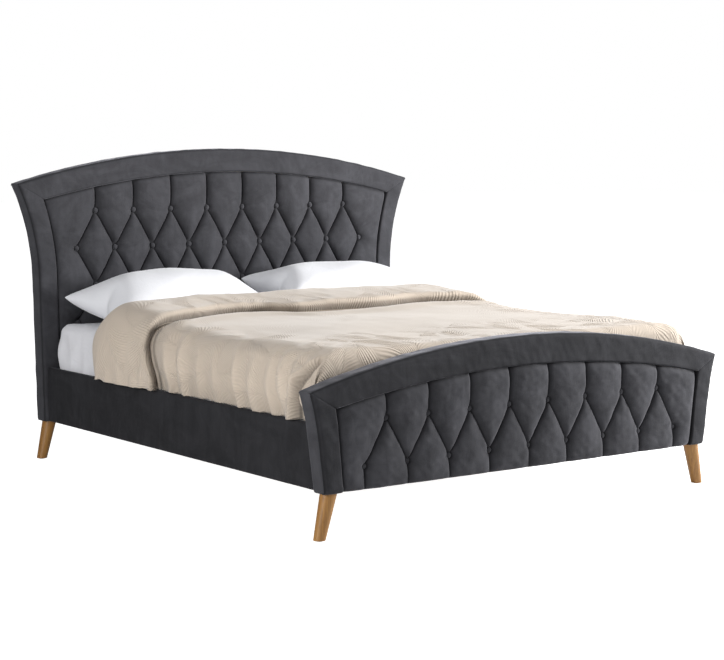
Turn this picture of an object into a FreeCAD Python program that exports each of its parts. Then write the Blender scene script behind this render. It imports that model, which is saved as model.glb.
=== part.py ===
"""Upholstered bed with an arched, deep-buttoned headboard and footboard, in millimetres.

The origin is on the floor at the middle of the bed. +X runs across the bed, to the right as seen from its
foot, +Y runs from the footboard to the headboard and +Z is up. Each sub-part has its own STEP file in parts/.
"""
import FreeCAD, Part
import math
import os
import re

import Sketcher

document = FreeCAD.newDocument("UpholsteredBed")
sheet = document.addObject("Spreadsheet::Sheet", "Sizes")

SIZES = {
    # The two upholstered boards: layers from the front face to the back.
    "board_bottom": 168, "board_thickness": 80, "pad_depth": 24, "face_ply": 9, "back_ply": 3, "back_foam": 5,
    "edge_foam": 8, "seam_gap": 0.6,
    # Where the boards stand: the clear length between them takes the mattress.
    "clear_length": 2050,
    # Headboard face, half widths from the middle and heights from the floor.
    "head_bottom_half": 946, "head_waist_half": 960, "head_waist_height": 800, "head_corner_half": 1055,
    "head_corner_height": 1210, "head_apex_height": 1356, "head_flare": 1000,
    "head_panel_bottom_half": 862, "head_panel_waist_half": 875, "head_panel_corner_half": 933,
    "head_panel_corner_height": 1141, "head_panel_apex_height": 1252, "head_panel_flare": 1130,
    "head_post_top": 1060, "head_arch_rise": 150,
    # Footboard face.
    "foot_bottom_half": 945, "foot_waist_half": 970, "foot_waist_height": 359, "foot_corner_half": 1008,
    "foot_corner_height": 532, "foot_apex_height": 672, "foot_flare": 1040,
    "foot_panel_bottom_half": 865, "foot_panel_waist_half": 884, "foot_panel_corner_half": 898,
    "foot_panel_corner_height": 468, "foot_panel_apex_height": 560, "foot_panel_flare": 1970,
    "foot_post_top": 445, "foot_arch_rise": 100,
    # Buttons, in staggered rows.
    "button_pitch": 193, "button_radius": 11, "button_depth": 14, "button_crown": 4,
    "head_first_row": 1089, "foot_first_row": 418, "row_drop": 165,
    # Timber frame inside the boards.
    "post_inner": 864, "post_outer": 934, "cross_rail_height": 70, "middle_rail_height": 640,
    # Side rails.
    "rail_half": 930, "rail_top": 407, "rail_ply": 18, "rail_foam": 5,
    # Legs.
    "leg_top_reach": 906, "leg_foot_reach": 946, "leg_set_back": 40, "leg_top_radius": 31,
    "leg_foot_radius": 22.5, "glide_height": 3, "glide_radius": 12,
    # Fixings.
    "bolt_radius": 4, "bolt_head_radius": 7.5, "bolt_head_height": 5.5, "bolt_into_board": 60,
    "bolt_into_rail": 23, "bracket_steel": 4, "bracket_width": 60, "bracket_height": 130, "bracket_base": 190,
    "bracket_hole_inset": 24, "leg_bolt_length": 70,
    # Slatted base.
    "mattress_base": 346, "slat_thickness": 8, "slat_width": 60, "slat_crown": 8, "slat_count": 14,
    "slat_end_gap": 90, "slat_clearance": 0.5, "slat_headroom": 1.5, "holder_wall": 3, "holder_length": 45,
    "ledge_width": 34, "ledge_height": 40, "centre_rail_width": 60, "centre_rail_height": 50,
    "centre_rail_wall": 2, "centre_leg_radius": 20, "centre_leg_reach": 342, "hanger_steel": 3,
    "hanger_length": 50,
    # Bedding.
    "mattress_half": 900, "mattress_length": 2000, "mattress_height": 250, "mattress_corner": 70,
    "mattress_edge": 22, "soft_gap": 1,
    "pillow_length": 820, "pillow_depth": 430, "pillow_height": 240, "pillow_centre": 462,
    "pillow_back": 1012, "duvet_thickness": 52, "duvet_side": 28, "duvet_foot": 1010, "duvet_head": 560,
    "fold_front": 190, "fold_rise": 74,
}

CELL_NAME = re.compile(r"[a-z][a-z_]+")
ROWS = {"head": (8, 9, 8, 9), "foot": (8, 9)}
SIDES = {"left": -1, "right": 1}
pieces = []


def fill_sheet():
    """Writes the driving sizes as text cells, each with its alias."""
    for row, (name, size) in enumerate(SIZES.items(), start=1):
        sheet.set("A%d" % row, name)
        sheet.set("B%d" % row, str(size))
        sheet.setAlias("B%d" % row, name)
    document.recompute()


def expression(text):
    """A size text such as 'rail_top - rail_ply', as an expression on the sheet's cells."""
    def named(found):
        return "Sizes." + found.group() if found.group() in SIZES else found.group()
    return CELL_NAME.sub(named, text)


def value(text):
    return float(sheet.evalExpression(expression(text)))


def bind(item, field, text):
    item.setExpression(field, expression(text))


def place(item, x="0", y="0", z="0"):
    for axis, text in zip("xyz", (x, y, z)):
        bind(item, ".Placement.Base." + axis, text)
    return item


def keep(item, name):
    """Marks an object as a sub-part: its label names its file."""
    item.Label = name
    pieces.append(item)
    return item


def box(name, size, corner):
    made = document.addObject("Part::Box", name)
    for field, text in zip(("Length", "Width", "Height"), size):
        bind(made, field, text)
    return place(made, *corner)


def cylinder(name, radius, height, base, turn=FreeCAD.Rotation()):
    made = document.addObject("Part::Cylinder", name)
    bind(made, "Radius", radius)
    bind(made, "Height", height)
    made.Placement.Rotation = turn
    return place(made, *base)


def cut(name, base, tool):
    made = document.addObject("Part::Cut", name)
    made.Base = base
    made.Tool = tool
    return made


def compound(name, members):
    made = document.addObject("Part::Compound", name)
    made.Links = members
    return made


def body(name):
    return document.addObject("PartDesign::Body", name)


def sketch(owner, plane, offset="0"):
    """A sketch on one of the body's own origin planes, lifted off it by the text offset."""
    made = owner.newObject("Sketcher::SketchObject", owner.Name + "_sketch")
    support = next(feature for feature in owner.Origin.OriginFeatures if feature.Role == plane)
    made.AttachmentSupport = [(support, "")]
    made.MapMode = "FlatFace"
    bind(made, ".AttachmentOffset.Base.z", offset)
    return made


def pin_point(drawn, edge, end, x, y):
    """Holds one end of an edge at the position that two size texts give."""
    for kind, text, axis in (("DistanceX", x, -2), ("DistanceY", y, -1)):
        size = value(text)
        if abs(size) < 1e-6:
            drawn.addConstraint(Sketcher.Constraint("PointOnObject", edge, end, axis))
            continue
        index = drawn.addConstraint(Sketcher.Constraint(kind, -1, 1, edge, end, size))
        bind(drawn, "Constraints[%d]" % index, text)


def draw_edge(drawn, start, finish, shape, radius):
    """Adds a line or an arc. Returns its number and which of its ends is its start and its finish."""
    if shape == "line":
        return drawn.addGeometry(Part.LineSegment(start, finish)), 1, 2
    chord = finish - start
    outward = FreeCAD.Vector(chord.y, -chord.x, 0).normalize()
    rise = value(radius) - (value(radius) ** 2 - chord.Length ** 2 / 4) ** 0.5
    if shape == "bulge":
        crown = (start + finish) * 0.5 + outward * rise
        return drawn.addGeometry(Part.Arc(start, crown, finish)), 1, 2
    crown = (start + finish) * 0.5 - outward * rise
    return drawn.addGeometry(Part.Arc(finish, crown, start)), 2, 1


def draw_loop(drawn, corners):
    """Draws a closed counter-clockwise loop. A corner is x, y and the shape of the edge that follows it:
    'line', or 'bulge' or 'hollow' with the text of its radius."""
    points = [FreeCAD.Vector(value(corner[0]), value(corner[1]), 0) for corner in corners]
    edges = []
    for index, corner in enumerate(corners):
        finish = points[(index + 1) % len(points)]
        radius = corner[3] if len(corner) > 3 else None
        edges.append(draw_edge(drawn, points[index], finish, corner[2], radius))
    for index, (corner, (edge, start, _)) in enumerate(zip(corners, edges)):
        before, _, finish = edges[index - 1]
        drawn.addConstraint(Sketcher.Constraint("Coincident", before, finish, edge, start))
        pin_point(drawn, edge, start, corner[0], corner[1])
        if corner[2] != "line":
            number = drawn.addConstraint(Sketcher.Constraint("Radius", edge, value(corner[3])))
            bind(drawn, "Constraints[%d]" % number, corner[3])


def draw_circle(drawn, x, y, radius):
    centre = FreeCAD.Vector(value(x), value(y), 0)
    edge = drawn.addGeometry(Part.Circle(centre, FreeCAD.Vector(0, 0, 1), value(radius)))
    pin_point(drawn, edge, 3, x, y)
    number = drawn.addConstraint(Sketcher.Constraint("Radius", edge, value(radius)))
    bind(drawn, "Constraints[%d]" % number, radius)


def mirrored(corners):
    """The same loop on the other side of the bed's middle, still counter-clockwise."""
    return [("-(%s)" % corners[-i][0], corners[-i][1], *corners[-i - 1][2:]) for i in range(len(corners))]


def pad(owner, drawn, length):
    made = owner.newObject("PartDesign::Pad", owner.Name + "_pad")
    made.Profile = drawn
    bind(made, "Length", length)
    return made


def plate(name, corners, back, depth, plane="XZ_Plane"):
    """A flat piece with an outline seen from the front: it is depth thick, in front of the plane y = back."""
    made = body(name)
    drawn = sketch(made, plane)
    draw_loop(drawn, corners)
    pad(made, drawn, depth)
    return place(made, y=back)


def slab(name, corners, base, height):
    """A piece whose outline is seen from above: it is height tall, on the plane z = base."""
    made = body(name)
    drawn = sketch(made, "XY_Plane")
    draw_loop(drawn, corners)
    pad(made, drawn, height)
    return place(made, z=base)


# Positions that several sub-parts share, as size texts.
FRONT = {"head": "clear_length / 2", "foot": "-clear_length / 2 - board_thickness"}
MATTRESS_TOP = "mattress_base + mattress_height"


def layer(board, depth):
    """The y of the plane that lies depth behind a board's front face."""
    return "%s + %s" % (FRONT[board], depth)


def arch(half, rise):
    """The radius of an arch from its half span and its rise."""
    return "((%s)^2 + (%s)^2) / (2 * (%s))" % (half, rise, rise)


def board_outline(board, inset="0", bottom="board_bottom"):
    """A board's face, drawn in from its outer edge by inset, with flared sides and an arched top."""
    low = "%s_bottom_half - %s" % (board, inset)
    waist = "%s_waist_half - %s" % (board, inset)
    corner = "%s_corner_half - %s" % (board, inset)
    height = "%s_corner_height - %s" % (board, inset)
    flare = "%s_flare + %s" % (board, inset)
    crown = arch(corner, "%s_apex_height - %s_corner_height" % (board, board))
    waist_height = "%s_waist_height" % board
    return [
        ("-(%s)" % low, bottom, "line"),
        (low, bottom, "line"),
        (waist, waist_height, "hollow", flare),
        (corner, height, "bulge", crown),
        ("-(%s)" % corner, height, "hollow", flare),
        ("-(%s)" % waist, waist_height, "line"),
    ]


def side_border(board):
    """The padded border on the right-hand side: it is cut off at a mitre where it meets the top border."""
    return [
        ("%s_panel_bottom_half" % board, "board_bottom", "line"),
        ("%s_bottom_half" % board, "board_bottom", "line"),
        ("%s_waist_half" % board, "%s_waist_height" % board, "hollow", "%s_flare" % board),
        ("%s_corner_half" % board, "%s_corner_height" % board, "line"),
        ("%s_panel_corner_half" % board, "%s_panel_corner_height" % board, "bulge", "%s_panel_flare" % board),
        ("%s_panel_waist_half" % board, "%s_waist_height" % board, "line"),
    ]


def top_border(board):
    outer = ("%s_corner_half" % board, "%s_corner_height + seam_gap" % board)
    inner = ("%s_panel_corner_half" % board, "%s_panel_corner_height + seam_gap" % board)
    outer_arch = arch(outer[0], "%s_apex_height - %s_corner_height - seam_gap" % (board, board))
    inner_arch = arch(inner[0], "%s_panel_apex_height - %s_panel_corner_height" % (board, board))
    return [
        (*inner, "line"),
        (*outer, "bulge", outer_arch),
        ("-(%s)" % outer[0], outer[1], "line"),
        ("-(%s)" % inner[0], inner[1], "hollow", inner_arch),
    ]


def panel_outline(board):
    """The tufted panel, a seam's width inside the borders."""
    low = "%s_panel_bottom_half - seam_gap" % board
    waist = "%s_panel_waist_half - seam_gap" % board
    corner = "%s_panel_corner_half - seam_gap" % board
    height = "%s_panel_corner_height - seam_gap" % board
    flare = "%s_panel_flare" % board
    crown = arch(corner, "%s_panel_apex_height - %s_panel_corner_height" % (board, board))
    return [
        ("-(%s)" % low, "board_bottom", "line"),
        (low, "board_bottom", "line"),
        (waist, "%s_waist_height" % board, "hollow", flare),
        (corner, height, "bulge", crown),
        ("-(%s)" % corner, height, "hollow", flare),
        ("-(%s)" % waist, "%s_waist_height" % board, "line"),
    ]


def button_row(owner, board, row, count):
    """A sketch of the first circle of a row of buttons."""
    start = "-%s * button_pitch" % ((count - 1) / 2)
    height = "%s_first_row - %d * row_drop" % (board, row)
    drawn = sketch(owner, "XZ_Plane")
    draw_circle(drawn, start, height, "button_radius")
    return drawn


def repeat(owner, feature, drawn, count):
    """Repeats a feature along X at the pitch of the buttons."""
    made = owner.newObject("PartDesign::LinearPattern", owner.Name + "_row")
    made.Originals = [feature]
    made.Direction = (drawn, ["H_Axis"])
    bind(made, "Length", "%d * button_pitch" % (count - 1))
    made.Occurrences = count
    owner.Tip = made


def tufted_panel(board):
    """The foam pad with a socket for each button."""
    made = plate(board + "board_tufted_pad", panel_outline(board), layer(board, "pad_depth"), "pad_depth")
    document.recompute()
    volume = made.Shape.Volume
    for row, count in enumerate(ROWS[board]):
        drawn = button_row(made, board, row, count)
        bind(drawn, ".AttachmentOffset.Base.z", "pad_depth - button_depth")
        socket = made.newObject("PartDesign::Pocket", made.Name + "_socket")
        socket.Profile = drawn
        bind(socket, "Length", "button_depth")
        socket.Reversed = True
        repeat(made, socket, drawn, count)
        document.recompute()
    expected = sum(ROWS[board]) * math.pi * value("button_radius^2 * button_depth")
    removed = volume - made.Shape.Volume
    if abs(removed - expected) > expected * 0.02:
        raise ValueError("%s: the button sockets took %.0f, not %.0f" % (made.Name, removed, expected))
    keep(made, board + "board_tufted_pad")


def buttons(board):
    """Covered buttons: a short drum in each socket, domed at the front."""
    rows = []
    for row, count in enumerate(ROWS[board]):
        made = body("%s_buttons_%d" % (board, row))
        drawn = button_row(made, board, row, count)
        drum = pad(made, drawn, "button_depth - button_crown")
        repeat(made, drum, drawn, count)
        rows.append(place(made, y=layer(board, "button_depth")))
    keep(compound(board + "board_buttons", rows), board + "board_buttons")


def board_covers(board, bolts):
    """The face board, the back panel, its padded cover and the strip round the edge."""
    name = board + "board_"
    inner = board_outline(board, "edge_foam")
    front = plate(name + "face", inner, layer(board, "pad_depth + face_ply"), "face_ply")
    keep(cut(name + "front_board", front, bolts), name + "front_board")
    back = plate(name + "back", inner, layer(board, "board_thickness - back_foam"), "back_ply")
    keep(cut(name + "back_panel", back, bolts), name + "back_panel")
    cover = plate(name + "cover", inner, layer(board, "board_thickness"), "back_foam")
    keep(cut(name + "back_cover", cover, bolts), name + "back_cover")
    outside = plate(name + "strip", board_outline(board), layer(board, "board_thickness"),
                    "board_thickness - pad_depth")
    inside = plate(name + "strip_inside", board_outline(board, "edge_foam", "0"),
                   layer(board, "board_thickness + 1"), "board_thickness - pad_depth + 2")
    keep(cut(name + "edge_cover", outside, inside), name + "edge_cover")


def borders(board, bolts):
    for side, corners in (("right", side_border(board)), ("left", mirrored(side_border(board)))):
        name = "%sboard_%s_border" % (board, side)
        made = plate(name + "_pad", corners, layer(board, "pad_depth"), "pad_depth")
        keep(cut(name, made, bolts), name)
    name = board + "board_top_border"
    keep(plate(name, top_border(board), layer(board, "pad_depth"), "pad_depth"), name)


def timber_frame(board, bolts):
    """Two posts, the arched top rail and the cross rails between the posts."""
    name = board + "board_"
    front = layer(board, "pad_depth + face_ply")
    depth = "board_thickness - pad_depth - face_ply - back_ply - back_foam"
    width = "post_outer - post_inner"
    for side, sign in SIDES.items():
        left = "post_inner" if sign > 0 else "-post_outer"
        tall = "%s_post_top - board_bottom" % board
        post = box("%s%s_post_blank" % (name, side), (width, depth, tall), (left, front, "board_bottom"))
        keep(cut("%s%s_post" % (name, side), post, bolts), "%s%s_post" % (name, side))
    levels = {"bottom": "board_bottom"}
    if board == "head":
        levels["middle"] = "middle_rail_height"
    for level, height in levels.items():
        rail = box("%s%s_rail" % (name, level), ("2 * post_inner", depth, "cross_rail_height"),
                   ("-post_inner", front, height))
        keep(rail, "%s%s_rail" % (name, level))
    keep(plate(name + "top_rail", arched_rail(board), "%s + %s" % (front, depth), depth), name + "top_rail")


def arched_rail(board):
    corner = "%s_corner_half - edge_foam" % board
    height = "%s_corner_height - edge_foam" % board
    outer = arch(corner, "%s_apex_height - %s_corner_height" % (board, board))
    inner = arch("post_inner", "%s_arch_rise" % board)
    base = "%s_post_top" % board
    return [
        ("post_inner", base, "line"),
        ("post_outer", base, "line"),
        (corner, height, "bulge", outer),
        ("-(%s)" % corner, height, "line"),
        ("-post_outer", base, "line"),
        ("-post_inner", base, "hollow", inner),
    ]


def side_rails(bolts):
    """A plywood board in a padded wrap on each side, with the batten that carries the slats."""
    foam = "rail_foam"
    thick = "rail_ply + 2 * rail_foam"
    tall = "rail_top - board_bottom"
    for side, sign in SIDES.items():
        outer = "rail_half - (%s)" % thick if sign > 0 else "-rail_half"
        start = "-clear_length / 2"
        wrap = box(side + "_wrap", (thick, "clear_length", tall), (outer, start, "board_bottom"))
        core_size = ("rail_ply", "clear_length", "%s - 2 * %s" % (tall, foam))
        core_corner = ("%s + %s" % (outer, foam), start, "board_bottom + " + foam)
        core = box(side + "_core", core_size, core_corner)
        hollow = cut(side + "_hollow_wrap", wrap, box(side + "_core_space", core_size, core_corner))
        keep(cut(side + "_rail_cover", hollow, bolts), side + "_rail_cover")
        keep(cut(side + "_rail_board", core, bolts), side + "_rail_board")
        inside = "rail_half - (%s)" % thick
        near = "%s - ledge_width" % inside if sign > 0 else "-(%s)" % inside
        ledge = box(side + "_slat_ledge",
                    ("ledge_width", "clear_length - 2 * bracket_width", "ledge_height"),
                    (near, "-clear_length / 2 + bracket_width", "%s - ledge_height" % slat_seat()))
        keep(ledge, side + "_slat_ledge")


def slat_seat():
    """The height of the face that the slat holders stand on."""
    return "mattress_base - slat_crown - slat_thickness - holder_wall - slat_clearance"


def bolt(name, shank, head_seat, turn):
    """A hexagon bolt: the head stands on the seat and the shank runs along the turned Z axis."""
    head = document.addObject("Part::Prism", name + "_head")
    head.Polygon = 6
    bind(head, "Circumradius", "bolt_head_radius")
    bind(head, "Height", "bolt_head_height")
    head.Placement.Rotation = turn
    way = turn.multVec(FreeCAD.Vector(0, 0, 1))
    back = ["%s - (%g) * bolt_head_height" % (text, part) for text, part in zip(head_seat, way)]
    place(head, *back)
    stem = cylinder(name + "_shank", "bolt_radius", shank, head_seat, turn)
    made = document.addObject("Part::Fuse", name)
    made.Base = head
    made.Tool = stem
    return made


def bracket_bolts():
    """Two bolts into each board and two into each side rail, at every corner."""
    made = []
    face = "rail_half - rail_ply - 2 * rail_foam"
    for side, sign in SIDES.items():
        for board, end in (("head", 1), ("foot", -1)):
            for level in (1, 3):
                height = "bracket_base + %d * bracket_height / 4" % level
                name = "bolt_%s_%s_%d" % (side, board, level)
                along = "%d * (clear_length / 2 - bracket_steel)" % end
                across = "%d * (%s - bracket_hole_inset)" % (sign, face)
                into_board = FreeCAD.Rotation(FreeCAD.Vector(1, 0, 0), -90 * end)
                made.append(bolt(name, "bolt_into_board", (across, along, height), into_board))
                along = "%d * (clear_length / 2 - bracket_width + bracket_hole_inset)" % end
                across = "%d * (%s - bracket_steel)" % (sign, face)
                into_rail = FreeCAD.Rotation(FreeCAD.Vector(0, 1, 0), 90 * sign)
                made.append(bolt(name + "_rail", "bolt_into_rail", (across, along, height), into_rail))
    return keep(compound("bracket_bolts", made), "bracket_bolts")


def corner_brackets(bolts):
    """A steel angle in each inside corner between a board and a side rail."""
    face = "(rail_half - rail_ply - 2 * rail_foam)"
    for side, sign in SIDES.items():
        for board, end in (("head", 1), ("foot", -1)):
            name = "%s_%s_corner_bracket" % (board, side)
            far, wall = "%d * %s" % (sign, face), "%d * clear_length / 2" % end
            near_x = "%d * (%s - bracket_steel)" % (sign, face)
            tip_x = "%d * (%s - bracket_width)" % (sign, face)
            near_y = "%d * (clear_length / 2 - bracket_steel)" % end
            tip_y = "%d * (clear_length / 2 - bracket_width)" % end
            corners = [(far, wall, "line"), (tip_x, wall, "line"), (tip_x, near_y, "line"),
                       (near_x, near_y, "line"), (near_x, tip_y, "line"), (far, tip_y, "line")]
            angle = slab(name + "_angle", corners, "bracket_base", "bracket_height")
            keep(cut(name, angle, bolts), name)


def leg_centre(board):
    return layer(board, "leg_set_back")


def legs():
    """Round tapered legs that splay sideways, each held by a stud into the post above it."""
    studs = []
    glides = []
    for side, sign in SIDES.items():
        for board, row in (("foot", "front"), ("head", "rear")):
            centre = leg_centre(board)
            top, foot = "%d * leg_top_reach" % sign, "%d * leg_foot_reach" % sign
            stud = cylinder("stud_%s_%s" % (row, side), "bolt_radius", "leg_bolt_length",
                            (top, centre, "board_bottom - leg_bolt_length / 2"))
            studs.append(stud)
            blank = splayed_cone("%s_%s_leg_blank" % (row, side), foot, top, centre)
            keep(cut("%s_%s_leg" % (row, side), blank, stud), "%s_%s_leg" % (row, side))
            glide = "glide_%s_%s" % (row, side)
            glides.append(cylinder(glide, "glide_radius", "glide_height", (foot, centre, "0")))
    return keep(compound("leg_bolts", studs), "leg_bolts"), glides


def splayed_cone(name, foot, top, centre):
    made = body(name)
    sections = []
    ends = ((foot, "leg_foot_radius", "glide_height"), (top, "leg_top_radius", "board_bottom"))
    for x, radius, height in ends:
        section = sketch(made, "XY_Plane", height)
        draw_circle(section, x, "0", radius)
        sections.append(section)
    loft = made.newObject("PartDesign::AdditiveLoft", name + "_loft")
    loft.Profile = sections[0]
    loft.Sections = [sections[1]]
    loft.Ruled = True
    return place(made, y=centre)


def centre_support(glides):
    """The steel box rail down the middle of the base, its two hangers and the two legs under it."""
    low = "%s - centre_rail_height" % slat_seat()
    outer = box("centre_rail_outside",
                ("centre_rail_width", "clear_length - 2 * hanger_steel", "centre_rail_height"),
                ("-centre_rail_width / 2", "-clear_length / 2 + hanger_steel", low))
    bore = box("centre_rail_bore",
               ("centre_rail_width - 2 * centre_rail_wall", "clear_length",
                "centre_rail_height - 2 * centre_rail_wall"),
               ("-centre_rail_width / 2 + centre_rail_wall", "-clear_length / 2",
                low + " + centre_rail_wall"))
    keep(cut("centre_rail", outer, bore), "centre_rail")
    for board, end in (("head", 1), ("foot", -1)):
        name = board + "_centre_rail_hanger"
        wall, face = "%d * clear_length / 2" % end, "%d * (clear_length / 2 - hanger_steel)" % end
        tip = "%d * (clear_length / 2 - hanger_length)" % end
        inner, side = "centre_rail_width / 2", "centre_rail_width / 2 + hanger_steel"
        corners = [(side, wall, "line"), ("-(%s)" % side, wall, "line"), ("-(%s)" % side, tip, "line"),
                   ("-(%s)" % inner, tip, "line"), ("-(%s)" % inner, face, "line"), (inner, face, "line"),
                   (inner, tip, "line"), (side, tip, "line")]
        corners = corners if end > 0 else [(x, y, edge) for x, y, edge in reversed(corners)]
        keep(slab(name, corners, low, "centre_rail_height"), name)
    for number, step in enumerate((-1, 1), start=1):
        along = "%d * centre_leg_reach" % step
        leg = cylinder("centre_leg_%d" % number, "centre_leg_radius", "%s - glide_height" % low,
                       ("0", along, "glide_height"))
        keep(leg, "centre_leg_%d" % number)
        glides.append(cylinder("centre_glide_%d" % number, "glide_radius", "glide_height", ("0", along, "0")))


def slat_profile(sign):
    """One bowed slat from the side rail to the centre rail, seen from the front."""
    near, far = "holder_wall + 1", "rail_half - rail_ply - 2 * rail_foam - holder_wall - 1"
    low = "mattress_base - slat_crown - slat_thickness - slat_clearance / 2"
    high = low + " + slat_thickness"
    half = "(%s - (%s)) / 2" % (far, near)
    corners = [(near, low, "hollow", arch(half, "slat_crown")), (far, low, "line"),
               (far, high, "bulge", arch(half, "slat_crown")), (near, high, "line")]
    return corners if sign > 0 else mirrored(corners)


def along_base(owner, features, drawn):
    """Repeats features along the bed at the pitch of the slats."""
    made = owner.newObject("PartDesign::LinearPattern", owner.Name + "_row")
    made.Originals = features
    made.Direction = (drawn, ["N_Axis"])
    bind(made, "Length", "clear_length - 2 * slat_end_gap - slat_width")
    bind(made, "Occurrences", "slat_count")
    owner.Tip = made


def slats():
    """Two banks of sprung slats, and the plastic holders that their ends sit in."""
    for side, sign in SIDES.items():
        bank = plate(side + "_slats", slat_profile(sign), "clear_length / 2 - slat_end_gap", "slat_width")
        along_base(bank, [bank.Tip], bank.Group[0])
        keep(bank, side + "_slats")
    inside = "(rail_half - rail_ply - 2 * rail_foam)"
    web, wall = "holder_wall / 2", "holder_wall"
    edge = inside + " - holder_length"
    holder_row("centre_slat_holders", "-holder_length", "holder_length",
               [("-holder_length", "-" + web), (web, "holder_length")])
    holder_row("right_slat_holders", edge, inside, [(edge, "%s - %s" % (inside, wall))])
    holder_row("left_slat_holders", "-" + inside, "-(%s)" % edge,
               [("-%s + %s" % (inside, wall), "-(%s)" % edge)])


def rectangle(left, right, low, high):
    return [(left, low, "line"), (right, low, "line"), (right, high, "line"), (left, high, "line")]


def holder_row(name, left, right, mouths):
    """A row of holders: each is a sleeve round the ends of the slats, with the mouths they enter by."""
    low = slat_seat()
    floor = low + " + holder_wall"
    roof = "mattress_base - slat_crown + slat_headroom"
    made = body(name)
    outside = sketch(made, "XZ_Plane")
    draw_loop(outside, rectangle(left, right, low, roof + " + holder_wall"))
    block = pad(made, outside, "slat_width")
    mouth = sketch(made, "XZ_Plane")
    for start, end in mouths:
        draw_loop(mouth, rectangle(start, end, floor, roof))
    slot = made.newObject("PartDesign::Pocket", name + "_slot")
    slot.Profile = mouth
    bind(slot, "Length", "slat_width")
    slot.Reversed = True
    along_base(made, [block, slot], outside)
    keep(place(made, y="clear_length / 2 - slat_end_gap"), name)


def rounded_rectangle(half_x, half_y, radius, x="0", y="0"):
    """Corners of a rectangle with round corners, about the point x, y."""
    corners = []
    for sign_x, sign_y in ((1, -1), (1, 1), (-1, 1), (-1, -1)):
        long_x = "%s + %d * (%s - %s)" % (x, sign_x, half_x, radius)
        full_x = "%s + %d * (%s)" % (x, sign_x, half_x)
        long_y = "%s + %d * (%s - %s)" % (y, sign_y, half_y, radius)
        full_y = "%s + %d * (%s)" % (y, sign_y, half_y)
        turn_in, turn_out = ((long_x, full_y), (full_x, long_y))
        if sign_x * sign_y > 0:
            turn_in, turn_out = turn_out, turn_in
        corners += [(*turn_in, "bulge", radius), (*turn_out, "line")]
    return corners


def mattress():
    made = slab("mattress", rounded_rectangle("mattress_half", "mattress_length / 2", "mattress_corner"),
                "mattress_base", "mattress_height")
    document.recompute()
    block = made.Tip
    rims = ["Edge%d" % (number + 1) for number, edge in enumerate(block.Shape.Edges)
            if edge.BoundBox.ZLength < 1e-6]
    soft_edge = made.newObject("PartDesign::Fillet", "mattress_soft_edge")
    soft_edge.Base = (block, rims)
    bind(soft_edge, "Radius", "mattress_edge")
    made.Tip = soft_edge
    keep(made, "mattress")


def pillow(side, sign):
    """A cushion lofted from a small base through its full outline to a small crown."""
    made = body(side + "_pillow")
    levels = (("0", 0.36), ("pillow_height * 0.42", 0.5), ("pillow_height * 0.8", 0.36),
              ("pillow_height", 0.2))
    sections = []
    for height, share in levels:
        section = sketch(made, "XY_Plane", height)
        half_x, half_y = "pillow_length * %g" % share, "pillow_depth * %g" % share
        draw_loop(section, rounded_rectangle(half_x, half_y, "pillow_depth * %g" % (share * 0.7)))
        sections.append(section)
    loft = made.newObject("PartDesign::AdditiveLoft", side + "_pillow_loft")
    loft.Profile = sections[0]
    loft.Sections = sections[1:]
    place(made, "%d * pillow_centre" % sign, "pillow_back - pillow_depth / 2", MATTRESS_TOP + " + soft_gap")
    keep(made, side + "_pillow")


def channel(top):
    """The duvet's cross-section: it lies on the mattress and hangs down to the side rails."""
    inner, outer = "mattress_half + soft_gap", "mattress_half + soft_gap + duvet_side"
    low, seat = "rail_top + soft_gap", MATTRESS_TOP + " + soft_gap"
    return [("-(%s)" % outer, low, "line"), ("-(%s)" % inner, low, "line"), ("-(%s)" % inner, seat, "line"),
            (inner, seat, "line"), (inner, low, "line"), (outer, low, "line"), (outer, top, "line"),
            ("-(%s)" % outer, top, "line")]


def duvet():
    """The duvet, with the thick turned-down fold at its head end."""
    top = MATTRESS_TOP + " + soft_gap + duvet_thickness"
    spread = plate("duvet_spread", channel(top), "duvet_head", "duvet_foot + duvet_head")
    fold_top = top + " + fold_rise"
    half = "mattress_half + soft_gap + duvet_side"
    fold = box("duvet_fold", ("2 * (%s)" % half, "duvet_head - fold_front", "fold_rise"),
               ("-(%s)" % half, "fold_front", fold_top + " - fold_rise"))
    made = document.addObject("Part::Fuse", "duvet")
    made.Base = spread
    made.Tool = fold
    made.Refine = True
    keep(made, "duvet")


def build():
    fill_sheet()
    bolts = bracket_bolts()
    leg_bolts, glides = legs()
    fixings = compound("bolt_holes", [bolts, leg_bolts])
    for board in ("head", "foot"):
        board_covers(board, fixings)
        borders(board, fixings)
        timber_frame(board, fixings)
        tufted_panel(board)
        buttons(board)
    side_rails(fixings)
    corner_brackets(bolts)
    centre_support(glides)
    keep(compound("glides", glides), "glides")
    slats()
    mattress()
    for side, sign in SIDES.items():
        pillow(side, sign)
    duvet()
    document.recompute()


def check_model():
    """Stops if any object failed or any sub-part isn't a sound solid."""
    for item in document.Objects:
        if "Invalid" in item.State or "Error" in item.State:
            raise ValueError("%s failed: %s" % (item.Name, item.State))
    for item in pieces:
        shape = item.Shape
        if shape.isNull() or not shape.isValid() or not shape.Solids:
            raise ValueError("%s has no sound solid" % item.Label)
    labels = [item.Label for item in pieces]
    if len(set(labels)) != len(labels):
        raise ValueError("two sub-parts share a label")


def write_parts():
    os.makedirs("parts", exist_ok=True)
    for item in pieces:
        item.Shape.exportStep("parts/%s.step" % item.Label)
        print("%-30s %3d solids %9.0f cm3" % (item.Label, len(item.Shape.Solids), item.Shape.Volume / 1000))


build()
check_model()
write_parts()
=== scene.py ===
"""Looks of the upholstered bed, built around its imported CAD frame.

Metres, +Z up, +Y from the footboard to the headboard. Positions come from the CAD frame and from the same sizes
as the CAD source. Both tufted faces look towards -Y.
"""
import math

import bpy
import numpy as np
from mathutils import Matrix, Vector


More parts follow.
